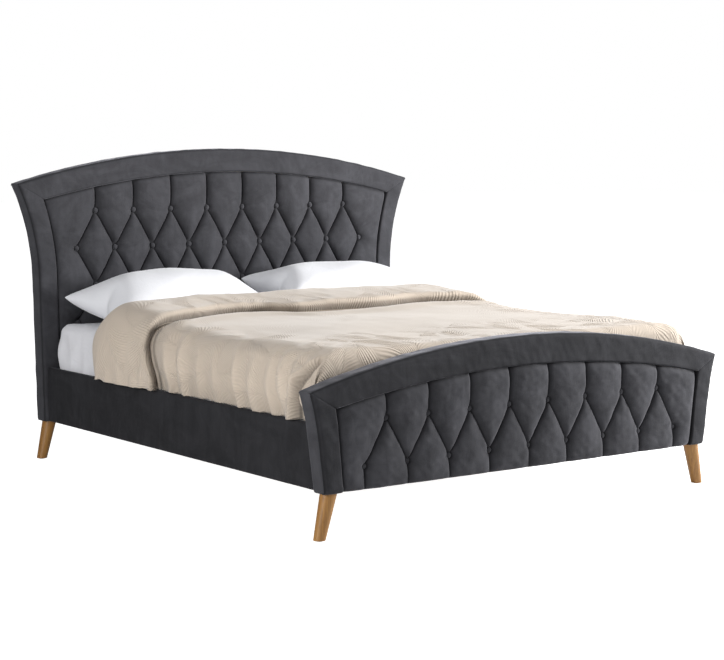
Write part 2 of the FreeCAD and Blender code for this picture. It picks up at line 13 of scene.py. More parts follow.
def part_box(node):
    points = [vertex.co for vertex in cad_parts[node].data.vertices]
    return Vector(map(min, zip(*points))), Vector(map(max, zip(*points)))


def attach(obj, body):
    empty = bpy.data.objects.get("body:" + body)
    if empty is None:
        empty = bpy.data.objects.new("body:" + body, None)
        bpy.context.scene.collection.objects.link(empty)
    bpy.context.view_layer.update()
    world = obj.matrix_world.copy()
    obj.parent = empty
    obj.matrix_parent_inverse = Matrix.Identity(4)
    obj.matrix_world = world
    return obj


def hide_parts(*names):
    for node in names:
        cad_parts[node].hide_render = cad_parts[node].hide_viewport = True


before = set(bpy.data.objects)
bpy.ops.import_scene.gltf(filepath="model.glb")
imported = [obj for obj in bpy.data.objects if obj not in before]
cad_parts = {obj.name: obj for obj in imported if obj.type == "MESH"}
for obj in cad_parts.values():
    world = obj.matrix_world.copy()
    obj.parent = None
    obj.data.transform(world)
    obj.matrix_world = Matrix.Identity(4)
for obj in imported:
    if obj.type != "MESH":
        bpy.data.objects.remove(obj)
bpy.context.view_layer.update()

TURN = 2 * math.pi
SIDES = ("left", "right")
PITCH = 0.193          # between buttons in a row
ROW_DROP = 0.165       # between rows of buttons
BOARD_BOTTOM = 0.168
BOARD_THICK = 0.080
PAD_DEPTH = 0.024      # of the pads and borders, behind the front plane
PUFF = 0.0120          # how far the pads stand in front of that plane between their folds
MID_FOLD, BUTTON_FOLD = 0.0235, 0.0300      # how deep a fold runs halfway along and at a button

# Sizes are half widths and heights; spacing is the pad's grid, and back_rows the back cover's.
BOARDS = {
    "head": {
        "front": 1.025, "waist_z": 0.800, "rows": (8, 9, 8, 9), "first_row": 1.089, "dense_from": 0.575,
        "relief": 1.38, "spacing": 0.0038, "back_rows": 130, "border_cloth": "velvet",
        "outer": dict(low=0.946, waist=0.960, corner=1.055, corner_z=1.210, apex=1.356, flare=1.000),
        "panel": dict(low=0.862, waist=0.875, corner=0.933, corner_z=1.141, apex=1.252, flare=1.130),
    },
    "foot": {
        "front": -1.105, "waist_z": 0.359, "rows": (8, 9), "first_row": 0.418, "dense_from": BOARD_BOTTOM,
        "relief": 0.86, "spacing": 0.0031, "back_rows": 70, "border_cloth": "velvet_across",
        "outer": dict(low=0.945, waist=0.970, corner=1.008, corner_z=0.532, apex=0.672, flare=1.040),
        "panel": dict(low=0.865, waist=0.884, corner=0.898, corner_z=0.468, apex=0.560, flare=1.970),
    },
}


# Numbers ----------------------------------------


def waves(points, size, seed, terms=22):
    """Smooth noise, mostly from -1 to 1, with features of about size, at an array of points."""
    draw = np.random.default_rng(seed)
    total = np.zeros(points.shape[:-1])
    for _ in range(terms):
        way = draw.normal(size=points.shape[-1])
        way /= np.linalg.norm(way)
        length = size * draw.uniform(0.7, 1.9)
        total += np.sin(points @ way * (TURN / length) + draw.uniform(0, TURN))
    return total / math.sqrt(terms)


def smooth(x, low, high):
    """Rises from 0 at low to 1 at high."""
    t = np.clip((x - low) / (high - low), 0, 1)
    return t * t * (3 - 2 * t)


def fade(x, reach, power=1):
    """Falls from 1 at x = 0 towards 0 past reach."""
    return np.exp(-(x / reach) ** power)


def bell(x, width):
    """A soft peak of 1 at x = 0."""
    return fade(x, width, 2)


def smooth_steps(count):
    """Steps from 0 to 1, closer together near both ends."""
    t = np.linspace(0, 1, count)
    return 0.45 * t + 0.55 * (1 - np.cos(math.pi * t)) / 2


def lerp(x, xs, ys):
    """A smooth curve through a few points: linear interpolation, blurred."""
    spread = np.linspace(-1, 1, 9)
    step = min(np.diff(xs)) * 0.8
    return np.mean([np.interp(x + step * offset, xs, ys) for offset in spread], axis=0)


# Meshes ----------------------------------------


def grid_quads(rows, cols, start=0, wrap=False, flip=False):
    """Quads of a grid of points; with wrap, its last column joins its first."""
    i = np.arange(rows - 1)[:, None]
    j = np.arange(cols if wrap else cols - 1)[None, :]
    a = start + i * cols + j
    b = start + i * cols + (j + 1) % cols
    quads = np.stack([a, b, b + cols, a + cols], -1).reshape(-1, 4)
    return quads[:, ::-1] if flip else quads


def rim_of(rows, cols):
    """Indices round a grid's edge, anticlockwise as seen from its front."""
    last = (rows - 1) * cols
    return np.concatenate([np.arange(cols), np.arange(2 * cols - 1, rows * cols, cols),
                           np.arange(rows * cols - 2, last - 1, -1),
                           np.arange(last - cols, 0, -cols)])


def make_piece(name, points, faces, slot, fill, replaces=None, cloth=None, sharp=60, **values):
    """A padded mesh that rides on the frame and stands in for the CAD node of its name, or for replaces.

    Faces are arrays of quads, or single loops of indices. The values are what its material reads at each point:
    flat, a place on the cloth laid flat; fold, painted shade on the velvet and the ribs' strength on the duvet;
    and shade, painted shade on the duvet. Fold and shade are 0 past the end of what is given.
    """
    loops, starts, count = [], [], 0
    for group in map(np.atleast_2d, faces):
        loops.append(group.ravel())
        starts.append(count + np.arange(len(group)) * group.shape[1])
        count += group.size
    loops, starts = np.concatenate(loops), np.concatenate(starts)
    mesh = bpy.data.meshes.new(name)
    mesh.vertices.add(len(points))
    mesh.vertices.foreach_set("co", points.astype(np.float32).ravel())
    mesh.loops.add(len(loops))
    mesh.loops.foreach_set("vertex_index", loops.astype(np.int32))
    mesh.polygons.add(len(starts))
    mesh.polygons.foreach_set("loop_start", starts.astype(np.int32))
    mesh.update(calc_edges=True)
    mesh.validate()
    for label, given in values.items():
        if label == "flat":
            layer = mesh.attributes.new(label, "FLOAT_VECTOR", "POINT")
            layer.data.foreach_set("vector", given.astype(np.float32).ravel())
        else:
            layer = mesh.attributes.new(label, "FLOAT", "POINT")
            given = np.r_[given.ravel(), np.zeros(len(points) - given.size)]
            layer.data.foreach_set("value", given.astype(np.float32))
    mesh.shade_smooth()
    mesh.set_sharp_from_angle(angle=math.radians(sharp))
    mesh.materials.append(MATERIALS[cloth or slot])
    piece = bpy.data.objects.new(name, mesh)
    bpy.context.scene.collection.objects.link(piece)
    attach(piece, "root")
    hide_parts(replaces or name)
    return piece


def backed_pad(front, back_y):
    """Points and faces of a closed pad: a front grid (rows, cols, 3), straight edges and a flat back."""
    rows, cols, _ = front.shape
    points = front.reshape(-1, 3)
    rim = rim_of(rows, cols)
    back = points[rim].copy()
    back[:, 1] = back_y
    behind = len(points) + np.arange(len(rim))
    sides = np.stack([np.roll(rim, -1), rim, behind, np.roll(behind, -1)], -1)
    return np.vstack([points, back]), [grid_quads(rows, cols), sides, behind[::-1]]


def closed_sheet(outside, inside):
    """Points and faces of a sheet with thickness, from matching outer and inner grids."""
    rows, cols, _ = outside.shape
    rim = rim_of(rows, cols)
    below = rows * cols
    walls = np.stack([np.roll(rim, -1), rim, below + rim, below + np.roll(rim, -1)], -1)
    faces = [grid_quads(rows, cols), grid_quads(rows, cols, below, flip=True), walls]
    return np.vstack([outside.reshape(-1, 3), inside.reshape(-1, 3)]), faces


def rounded_ring(half_a, half_b, radius, steps, spacing):
    """Points round a rounded rectangle, anticlockwise, its straight sides cut into parts of about spacing."""
    corners = []
    for turn, (a, b) in enumerate(((1, -1), (1, 1), (-1, 1), (-1, -1))):
        for angle in np.linspace(0, math.pi / 2, steps) + (turn - 1) * math.pi / 2:
            corners.append((a * (half_a - radius) + radius * math.cos(angle),
                            b * (half_b - radius) + radius * math.sin(angle)))
    ring, corners = [], np.array(corners)
    for here, there in zip(corners, np.roll(corners, -1, 0)):
        parts = max(1, int(np.linalg.norm(there - here) / spacing))
        ring += [here + (there - here) * k / parts for k in range(parts)]
    return np.array(ring)


# Materials ----------------------------------------


class Shader:
    """A material's node tree, with short calls for the nodes used here."""

    def __init__(self, name):
        self.material = bpy.data.materials.new(name)
        self.material.use_nodes = True
        self.nodes = self.material.node_tree.nodes
        self.links = self.material.node_tree.links
        self.surface = self.nodes["Principled BSDF"]

    def set(self, **values):
        """Sets the surface's sockets, whose names are given with underscores for spaces."""
        for name, value in values.items():
            self.surface.inputs[name.replace("_", " ")].default_value = value

    def feed(self, socket, value):
        if isinstance(value, bpy.types.NodeSocket):
            self.links.new(value, socket)
        else:
            socket.default_value = value

    def node(self, kind, output, inputs, **settings):
        """One output of a new node, after its settings and then its inputs are filled in."""
        node = self.nodes.new("ShaderNode" + kind)
        for name, value in settings.items():
            setattr(node, name, value)
        for name, value in inputs.items():
            self.feed(node.inputs[name], value)
        return node.outputs[output]

    def math(self, operation, a, b=0.0, c=0.0):
        return self.node("Math", 0, {0: a, 1: b, 2: c}, operation=operation)

    def times(self, a, b):
        return self.math("MULTIPLY", a, b)

    def vector(self, operation, a, b):
        output = "Value" if operation == "DOT_PRODUCT" else 0
        return self.node("VectorMath", output, {0: a, 1: b}, operation=operation)

    def place(self):
        return self.node("TexCoord", "Object", {})

    def attribute(self, name, output="Fac"):
        return self.node("Attribute", output, {}, attribute_name=name)

    def stretch(self, vector, scale, turn=(0, 0, 0)):
        return self.node("Mapping", 0, {"Vector": vector, "Scale": scale, "Rotation": turn})

    def noise(self, vector, scale, detail=3.0, rough=0.5, warp=0.0, output="Fac"):
        return self.node("TexNoise", output, {"Vector": vector, "Scale": scale, "Detail": detail,
                                              "Roughness": rough, "Distortion": warp})

    def ramp(self, fac, stops):
        """Colours along a value, from (position, colour) stops."""
        ramp = self.node("ValToRGB", 0, {0: fac})
        elements = ramp.node.color_ramp.elements
        elements.remove(elements[1])
        for index, (at, colour) in enumerate(stops):
            element = elements[0] if index == 0 else elements.new(at)
            element.position = at
            element.color = (*colour, 1)
        return ramp

    def tones(self, fac, low, high):
        """From one colour to another over the middle of a noise."""
        return self.ramp(fac, [(0.3, low), (0.7, high)])

    def mix(self, fac, a, b, mode="MIX"):
        a, b = ((*colour, 1) if isinstance(colour, tuple) else colour for colour in (a, b))
        return self.node("Mix", 2, {0: fac, 6: a, 7: b}, data_type="RGBA", blend_type=mode)

    def bump(self, height, distance, strength, under=None):
        inputs = {"Distance": distance, "Strength": strength, "Height": height}
        return self.node("Bump", 0, inputs if under is None else {**inputs, "Normal": under})

    def done(self, colour, normal=None, roughness=None):
        for name, value in (("Base Color", colour), ("Normal", normal), ("Roughness", roughness)):
            if value is not None:
                self.feed(self.surface.inputs[name], value)
        return self.material


def linear(red, green, blue):
    """Scene colour of an 8-bit display colour."""
    return tuple((c / 255 / 12.92) if c <= 10 else ((c / 255 + 0.055) / 1.055) ** 2.4 for c in (red, green, blue))


def scaled(colour, factor):
    return tuple(min(1.0, c * factor) for c in colour)


def velvet_material(name="charcoal_velvet", tone=1.0, bloom=0.55):
    """Short-pile velvet: soft dark patches where the nap lies differently, a pale bloom at grazing angles."""
    s = Shader(name)
    base = scaled((0.046, 0.046, 0.0515), tone)
    at = s.place()
    drift = s.noise(s.stretch(at, (1.0, 1.0, 1.6)), 4.5, 4, 0.62, 1.2)
    brushed = s.noise(s.stretch(at, (1.0, 1.0, 0.35), (0.0, 0.35, 0.0)), 17, 3, 0.6, 0.6)
    nap = s.math("MULTIPLY_ADD", drift, 0.62, s.times(brushed, 0.38))
    colour = s.ramp(nap, [(0.32, scaled(base, 0.62)), (0.48, base), (0.64, scaled(base, 1.48))])
    # painted shade: where the fold value is high the cloth is darkened towards an eighth of its colour, in folds,
    # along seams and round buttons
    colour = s.mix(s.attribute("fold"), colour, scaled(base, 0.12))
    pile = s.noise(at, 1300, 2, 0.6)
    colour = s.mix(0.30, colour, s.tones(pile, scaled(base, 0.5), scaled(base, 1.6)))
    normal = s.bump(nap, 0.006, 0.35, s.bump(brushed, 0.0012, 0.35, s.bump(pile, 0.0004, 0.35)))
    s.set(Roughness=0.88, Sheen_Weight=bloom, Sheen_Roughness=0.34, Sheen_Tint=(0.60, 0.60, 0.66, 1),
          Specular_IOR_Level=0.15)
    return s.done(colour, normal)


def oak_material():
    s = Shader("light_oak")
    at = s.place()
    grain = s.noise(s.stretch(at, (38, 38, 2.6)), 3.0, 5, 0.62, 0.7)
    pores = s.noise(s.stretch(at, (260, 260, 9)), 4.0, 2, 0.7)
    broad = s.noise(s.stretch(at, (9, 9, 1.2)), 2.0, 2, 0.5, 0.4)
    colour = s.ramp(grain, [(0.28, linear(102, 62, 22)), (0.5, linear(146, 98, 38)), (0.74, linear(174, 126, 60))])
    colour = s.mix(0.35, colour, s.tones(broad, linear(132, 88, 36), linear(184, 142, 80)))
    dark = s.ramp(pores, [(0.30, (0.55, 0.5, 0.45)), (0.42, (1, 1, 1))])
    colour = s.mix(0.5, colour, dark, "MULTIPLY")
    s.set(Coat_Weight=0.18, Coat_Roughness=0.35)
    return s.done(colour, s.bump(pores, 0.0004, 0.25), s.math("MULTIPLY_ADD", grain, 0.15, 0.38))


def timber_material(name, dark, mid, pale, knots=0.0, rough=0.62):
    """Sawn or sliced wood whose grain runs along X."""
    s = Shader(name)
    at = s.place()
    grain = s.noise(s.stretch(at, (2.5, 30, 30)), 2.2, 5, 0.6, 0.9)
    fibre = s.noise(s.stretch(at, (15, 180, 180)), 3.0, 2, 0.6)
    colour = s.ramp(grain, [(0.3, dark), (0.5, mid), (0.7, pale)])
    if knots:
        spots = s.noise(s.stretch(at, (1, 12, 12)), 3.5, 1, 0.4)
        colour = s.mix(s.times(s.math("SUBTRACT", spots, 0.68), 6 * knots), colour, scaled(dark, 0.45))
    colour = s.mix(0.25, colour, s.tones(fibre, scaled(dark, 0.8), pale))
    return s.done(colour, s.bump(fibre, 0.0005, 0.3), s.math("MULTIPLY_ADD", fibre, 0.2, rough - 0.1))


def plywood_material():
    """Pale face veneer, with the plies' bands showing along cut edges."""
    s = Shader("birch_plywood")
    at = s.place()
    grain = s.noise(s.stretch(at, (30, 30, 2.0)), 2.0, 4, 0.6, 1.0)
    bands = s.math("PINGPONG", s.vector("DOT_PRODUCT", at, (1, 1, 0)), 0.0015)
    bands = s.times(bands, 660)
    colour = s.tones(grain, linear(176, 140, 98), linear(222, 196, 156))
    colour = s.mix(0.28, colour, s.ramp(bands, [(0.35, linear(140, 100, 66)), (0.65, linear(226, 200, 160))]))
    return s.done(colour, s.bump(grain, 0.0006, 0.3), s.math("MULTIPLY_ADD", grain, 0.2, 0.5))


def hardboard_material():
    s = Shader("brown_hardboard")
    at = s.place()
    flecks = s.noise(at, 420, 4, 0.75)
    colour = s.ramp(flecks, [(0.32, linear(86, 58, 38)), (0.5, linear(122, 86, 58)), (0.7, linear(150, 112, 78))])
    cloudy = s.tones(s.noise(at, 9, 3, 0.6), linear(100, 70, 46), linear(136, 98, 66))
    return s.done(s.mix(0.3, colour, cloudy), s.bump(flecks, 0.0004, 0.4), s.math("MULTIPLY_ADD", flecks, 0.2, 0.6))


def plastic_material(name, colour, rough):
    s = Shader(name)
    at = s.place()
    texture = s.noise(at, 800, 2, 0.5)
    tone = s.tones(s.noise(at, 30, 2, 0.5), scaled(colour, 0.85), scaled(colour, 1.2))
    return s.done(tone, s.bump(texture, 0.0002, 0.3), s.math("MULTIPLY_ADD", texture, 0.12, rough))


def steel_material(name, colour, rough, metal):
    s = Shader(name)
    at = s.place()
    spots = s.noise(at, 60, 4, 0.7)
    tone = s.tones(spots, scaled(colour, 0.75), scaled(colour, 1.15))
    s.set(Metallic=metal)
    return s.done(tone, s.bump(s.noise(at, 500, 2, 0.5), 0.0002, 0.3), s.math("MULTIPLY_ADD", spots, 0.2, rough))


def cotton_material(name, colour, crumple):
    """A fine plain weave, with faint uneven toning and soft creases of the height given."""
    s = Shader(name)
    at = s.place()
    thread = 3600
    across = s.math("SINE", s.times(s.vector("DOT_PRODUCT", at, (1, 0.15, 0.1)), thread))
    along = s.math("SINE", s.times(s.vector("DOT_PRODUCT", at, (-0.1, 1, 0.8)), thread))
    tone = s.tones(s.noise(at, 6, 3, 0.55), scaled(colour, 0.965), colour)
    tone = s.mix(0.12, tone, s.tones(s.noise(at, 260, 3, 0.6), scaled(colour, 0.9), colour))
    creases = s.noise(s.stretch(at, (1.0, 0.6, 1.3)), 13, 4, 0.6, 1.6)
    normal = s.bump(creases, crumple, 0.5, s.bump(s.times(across, along), 0.00012, 0.3))
    s.set(Roughness=0.82, Sheen_Weight=0.25, Sheen_Roughness=0.4, Specular_IOR_Level=0.25)
    return s.done(tone, normal)


DUVET_COLOUR = linear(203, 189, 173)
LEAF_CELLS = {"Scale": 6.4, "Randomness": 0.85}
RIB_PITCH = 0.0140


def duvet_material():
    """Stitched cotton with leaf fans: each cell of the cloth has its own leaf, ribs curving off its middle vein."""
    s = Shader("leaf_stitched_cotton")
    flat, base = s.attribute("flat", "Vector"), DUVET_COLOUR
    bend = s.vector("SUBTRACT", s.noise(flat, 3.2, 1.0, output="Color"), (0.5, 0.5, 0.5))
    shaken = s.vector("ADD", flat, s.vector("MULTIPLY", bend, (0.16, 0.16, 0.16)))
    shaken = s.vector("MULTIPLY", shaken, (1.0, 0.72, 0.0))
    cell = s.node("TexVoronoi", "Color", {"Vector": shaken, **LEAF_CELLS})
    away = s.vector("SUBTRACT", shaken, cell.node.outputs["Position"])
    angle = s.times(s.node("SeparateColor", 0, {0: cell}), TURN)
    cosine, sine = s.math("COSINE", angle), s.math("SINE", angle)
    px = s.node("SeparateXYZ", 0, {0: away})
    py = px.node.outputs[1]
    along = s.math("ADD", s.times(px, cosine), s.times(py, sine))
    side = s.math("ABSOLUTE", s.math("SUBTRACT", s.times(py, cosine), s.times(px, sine)))
    climb = s.math("SUBTRACT", along, s.times(s.math("POWER", s.math("ADD", side, 0.001), 0.72), 0.62))
    ribs = s.math("SINE", s.times(climb, TURN / RIB_PITCH))
    edge = s.node("TexVoronoi", "Distance", {"Vector": shaken, **LEAF_CELLS}, feature="DISTANCE_TO_EDGE")
    outline = s.math("MINIMUM", s.times(edge, 11.0), 1.0)
    vein = s.math("MINIMUM", s.times(side, 160.0), 1.0)
    height = s.times(s.math("MULTIPLY_ADD", ribs, 0.5, 0.5), outline)
    height = s.math("ADD", height, s.times(vein, 0.5))
    height = s.times(height, s.attribute("fold"))
    crumple = s.noise(flat, 17, 4, 0.6, 1.0)
    fine = s.noise(flat, 420, 2, 0.6)
    # painted shade: darker in the ribs' grooves and along each vein, with a faint painted highlight on the rib crests
    colour = s.ramp(height, [(0.0, scaled(base, 0.90)), (0.7, base), (1.0, scaled(base, 1.04))])
    colour = s.mix(0.10, colour, s.tones(fine, scaled(base, 0.8), scaled(base, 1.1)))
    colour = s.mix(s.attribute("shade"), colour, scaled(base, 0.10))
    normal = s.bump(height, 0.0030, 0.75, s.bump(crumple, 0.0025, 0.15, s.bump(fine, 0.0003, 0.3)))
    s.set(Roughness=0.85, Sheen_Weight=0.3, Sheen_Roughness=0.45, Specular_IOR_Level=0.25)
    return s.done(colour, normal)


MATERIALS = {
    "velvet": velvet_material(),
    # A darker copy of the velvet for the side rails: partly their nap laid down, partly painted shade for the rails'
    # sides that face away from the key lamp.
    "nap_down_shaded_velvet": velvet_material("charcoal_velvet_shaded_nap_down", 0.42, 0.16),
    "velvet_across": velvet_material("charcoal_velvet_nap_across", 0.66, 0.33),
    "oak": oak_material(),
    "plywood": plywood_material(),
    "hardboard": hardboard_material(),
    "timber": timber_material("sawn_pine", linear(168, 124, 78), linear(206, 168, 118), linear(226, 196, 150),
                              knots=0.5),
    "slat_birch": timber_material("birch_slats", linear(184, 148, 104), linear(214, 184, 140),
                                  linear(232, 208, 170), rough=0.45),
    "holder_plastic": plastic_material("black_holder_plastic", (0.018, 0.018, 0.02), 0.42),
    "glide_plastic": plastic_material("grey_glide_plastic", (0.11, 0.11, 0.115), 0.48),
    "black_steel": steel_material("black_powder_steel", (0.022, 0.022, 0.024), 0.42, 0.35),
    "zinc_steel": steel_material("zinc_plated_steel", (0.62, 0.62, 0.60), 0.28, 1.0),
    "mattress_sheet": cotton_material("white_fitted_sheet", linear(226, 226, 230), crumple=0.006),
    "pillow_cotton": cotton_material("white_pillow_cotton", linear(238, 239, 243), crumple=0.003),
    "duvet_cotton": duvet_material(),
}

# The CAD nodes that stay as they are, by material.
CARRIED = {
    "oak": ["%s_%s_leg" % (end, side) for end in ("front", "rear") for side in SIDES],
    "glide_plastic": ["glides"],
    "zinc_steel": ["leg_bolts", "bracket_bolts"] + [
        "%s_%s_corner_bracket" % (board, side) for board in BOARDS for side in SIDES],
    "plywood": ["left_rail_board", "right_rail_board", "headboard_front_board", "footboard_front_board"],
    "hardboard": ["headboard_back_panel", "footboard_back_panel"],
    "timber": ["left_slat_ledge", "right_slat_ledge", "headboard_middle_rail"] + [
        board + "board_" + part for board in BOARDS
        for part in ("left_post", "right_post", "top_rail", "bottom_rail")],
    "slat_birch": ["left_slats", "right_slats"],
    "holder_plastic": ["left_slat_holders", "right_slat_holders", "centre_slat_holders"],
    "black_steel": ["centre_rail", "head_centre_rail_hanger", "foot_centre_rail_hanger"] + [
        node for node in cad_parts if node.startswith("centre_leg_")],
}
for material, nodes in CARRIED.items():
    for node in nodes:
        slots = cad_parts[node].data.materials
        if not len(slots):
            slots.append(MATERIALS[material])
        for index in range(len(slots)):
            slots[index] = MATERIALS[material]


# Boards ----------------------------------------


class Outline:
    """A board's or panel's outline: straight low sides that flare outwards along an arc, and an arched top."""

    def __init__(self, waist_z, low, waist, corner, corner_z, apex, flare, inset=0.0):
        self.low, self.waist, self.waist_z = low - inset, waist - inset, waist_z
        self.corner, self.corner_z, self.apex = corner - inset, corner_z - inset, apex - inset
        self.flare = flare + inset
        run, rise = self.corner - self.waist, self.corner_z - waist_z
        chord = math.hypot(run, rise)
        reach = math.sqrt(self.flare ** 2 - chord ** 2 / 4)
        self.centre_x = (self.waist + self.corner) / 2 + rise / chord * reach
        self.centre_z = (waist_z + self.corner_z) / 2 - run / chord * reach
        arch = self.apex - self.corner_z
        self.arch = (self.corner ** 2 + arch ** 2) / (2 * arch)

    def half(self, z):
        """Half the width at a height."""
        z = np.minimum(z, self.corner_z)
        straight = self.low + (self.waist - self.low) * (z - BOARD_BOTTOM) / (self.waist_z - BOARD_BOTTOM)
        inside = np.maximum(self.flare ** 2 - (z - self.centre_z) ** 2, 0)
        return np.where(z < self.waist_z, straight, self.centre_x - np.sqrt(inside))

    def top(self, x):
        """The height of the arch at x."""
        return self.apex - self.arch + np.sqrt(self.arch ** 2 - x ** 2)


def outline(board, which, inset=0.0):
    return Outline(BOARDS[board]["waist_z"], inset=inset, **BOARDS[board][which])


def button_centres(board):
    """Rows of button centres, from the top."""
    info = BOARDS[board]
    return [[((i - (count - 1) / 2) * PITCH, info["first_row"] - row * ROW_DROP) for i in range(count)]
            for row, count in enumerate(info["rows"])]


def buttons(board):
    return [centre for row in button_centres(board) for centre in row]


def folds(board):
    """The fold lines as (start, end, a button at each end): pleats up to the arch, diagonals and low pleats."""
    rows = button_centres(board)
    arch = outline(board, "panel")
    lines = [((x, z), (x, float(arch.top(np.array(x)))), 0) for x, z in rows[0]]
    for upper, lower in zip(rows, rows[1:]):
        for x, z in upper:
            lines += [((x, z), (u, w), 1) for u, w in lower if abs(abs(u - x) - PITCH / 2) < 0.001]
    lines += [((x, z), (x, BOARD_BOTTOM), 0) for x, z in rows[-1]]
    return lines


def fold_depth(x, z, board):
    """How far the fold lines and buttons pull the pad in, and the nearest point of a fold line."""
    point = np.stack([x, z], -1)
    total = np.zeros(len(x))
    nearest = np.full(len(x), 9.0)
    foot_point = point.copy()
    for number, (start, end, two) in enumerate(folds(board)):
        a, b = np.array(start), np.array(end)
        way = b - a
        length = np.linalg.norm(way)
        close = np.abs(np.cross(way / length, point - a)) < 0.12
        t = np.clip((point @ way - a @ way) / length ** 2, 0, 1)
        at = a + t[:, None] * way
        d = np.linalg.norm(point - at, axis=1)
        to_button = (np.minimum(t, 1 - t) if two else t) * length
        vary = BOARDS[board]["relief"] * (1 + 0.10 * math.sin(number * 2.4))
        pull = (MID_FOLD + (BUTTON_FOLD - MID_FOLD) * fade(to_button, 0.040, 1.25)) * vary
        narrow = np.where(point[:, 0] > at[:, 0], 0.0075, 0.0052)      # a fold is crisper on its left
        part = pull * (0.66 * fade(d, 0.040) + 0.34 * fade(d, narrow))
        total += np.where(close, part, 0) ** 4
        better = d < nearest
        nearest = np.where(better, d, nearest)
        foot_point[better] = at[better]
    depth = total ** 0.25
    for bx, bz in buttons(board):
        depth += 0.0045 * bell(np.hypot(x - bx, z - bz), 0.013)
    return depth, nearest, foot_point


def spread_over(shape, across, up):
    """Points inside an outline: across from -1 to 1 of its width, up from 0 to 1 of its height."""
    u, v = np.meshgrid(across, up)
    x = u * shape.waist
    for _ in range(6):
        z = BOARD_BOTTOM + v * (shape.top(x) - BOARD_BOTTOM)
        x = u * shape.half(z)
    return x, z


def tufted_pad(board):
    """The buttoned panel: a fine grid, snapped onto the fold lines and drawn in along them."""
    info = BOARDS[board]
    panel = outline(board, "panel", 0.0004)
    spacing = info["spacing"]
    height = panel.apex - BOARD_BOTTOM
    coarse = (info["dense_from"] - BOARD_BOTTOM) / height        # the part hidden behind the bedding
    levels = np.linspace(coarse, 1, int(height * (1 - coarse) / spacing))
    if coarse > 0:
        levels = np.concatenate([np.linspace(0, coarse, 24)[:-1], levels])
    x, z = spread_over(panel, np.linspace(-1, 1, int(2 * panel.waist / spacing)), levels)
    shape = x.shape
    inner = np.zeros(shape, bool)
    inner[2:-2, 2:-2] = True
    x, z = x.ravel(), z.ravel()
    _, nearest, at = fold_depth(x, z, board)
    snap = inner.ravel() & (nearest < 0.45 * spacing)
    x[snap], z[snap] = at[snap].T
    depth, nearest, _ = fold_depth(x, z, board)
    side = np.maximum(panel.half(z) - np.abs(x), 0)
    top = np.maximum(panel.top(x) - z, 0)
    low = np.maximum(z - BOARD_BOTTOM, 0)
    depth += (0.012 - depth) * 0.7 * fade(low, 0.014)
    edge = 0.015 * fade(side, 0.026) + 0.007 * fade(side, 0.005) + 0.013 * fade(top, 0.016)
    edge += 0.003 * fade(low, 0.012) + 0.010 * fade(low, 0.004)
    cloth = np.stack([x, z], -1)
    soft = 0.0009 * waves(cloth, 0.075, 11) + 0.0004 * waves(cloth, 0.03, 12)
    y = info["front"] - PUFF + depth + edge + soft * smooth(side, 0, 0.03)
    y = np.minimum(y, info["front"] + PAD_DEPTH - 0.002)
    # painted shade, handed to the velvet as its fold value: dark along the fold lines, beside the side borders and
    # under the top seam, softly near folds and borders, and round and about each button
    dark = [bell(nearest, 0.0048), 0.9 * bell(side, 0.006), 0.5 * fade(np.minimum(nearest, side), 0.013),
            bell(top, 0.0075)]
    for bx, bz in buttons(board):
        ring = np.hypot(x - bx, z - bz)
        dark = [np.maximum.reduce(dark), 0.9 * bell(ring - 0.0120, 0.0050), 0.6 * bell(ring, 0.024)]
    points, faces = backed_pad(np.stack([x, y, z], -1).reshape(*shape, 3), info["front"] + PAD_DEPTH)
    make_piece(board + "board_tufted_pad", points, faces, "velvet", 0.8, fold=np.maximum.reduce(dark))


def covered_buttons(board):
    """Domed buttons with gathered cloth round their rims."""
    spokes, rings = 28, np.linspace(0, 1, 9)[1:]
    around = np.arange(spokes) / spokes * TURN
    points, faces = [], []
    for number, (bx, bz) in enumerate(buttons(board)):
        start = len(points)
        tip = BOARDS[board]["front"] + 0.0080 + 0.0006 * math.sin(number * 1.7)
        lean_x, lean_z = 0.05 * math.sin(number * 2.1), 0.06 * math.cos(number * 1.3)
        points.append((bx, tip, bz))
        for ring in rings:
            gather = 1 + 0.02 * np.cos(around * 14 + number) * ring ** 4
            radius = 0.0112 * math.sin(ring * math.pi * 0.54) * gather
            drop = 0.0072 * (1 - math.cos(ring * math.pi * 0.54)) + (0.002 if ring == 1 else 0)
            dx, dz = radius * np.cos(around), radius * np.sin(around)
            points += list(zip(bx + dx, tip + drop + lean_x * dx + lean_z * dz, bz + dz))
        first = start + 1 + np.arange(spokes)
        faces += [np.stack([np.full(spokes, start), first, np.roll(first, -1)], -1),
                  grid_quads(len(rings), spokes, start + 1, wrap=True, flip=True),
                  (first + (len(rings) - 1) * spokes)[::-1]]
    make_piece(board + "board_buttons", np.array(points), faces, "velvet", 0.9)


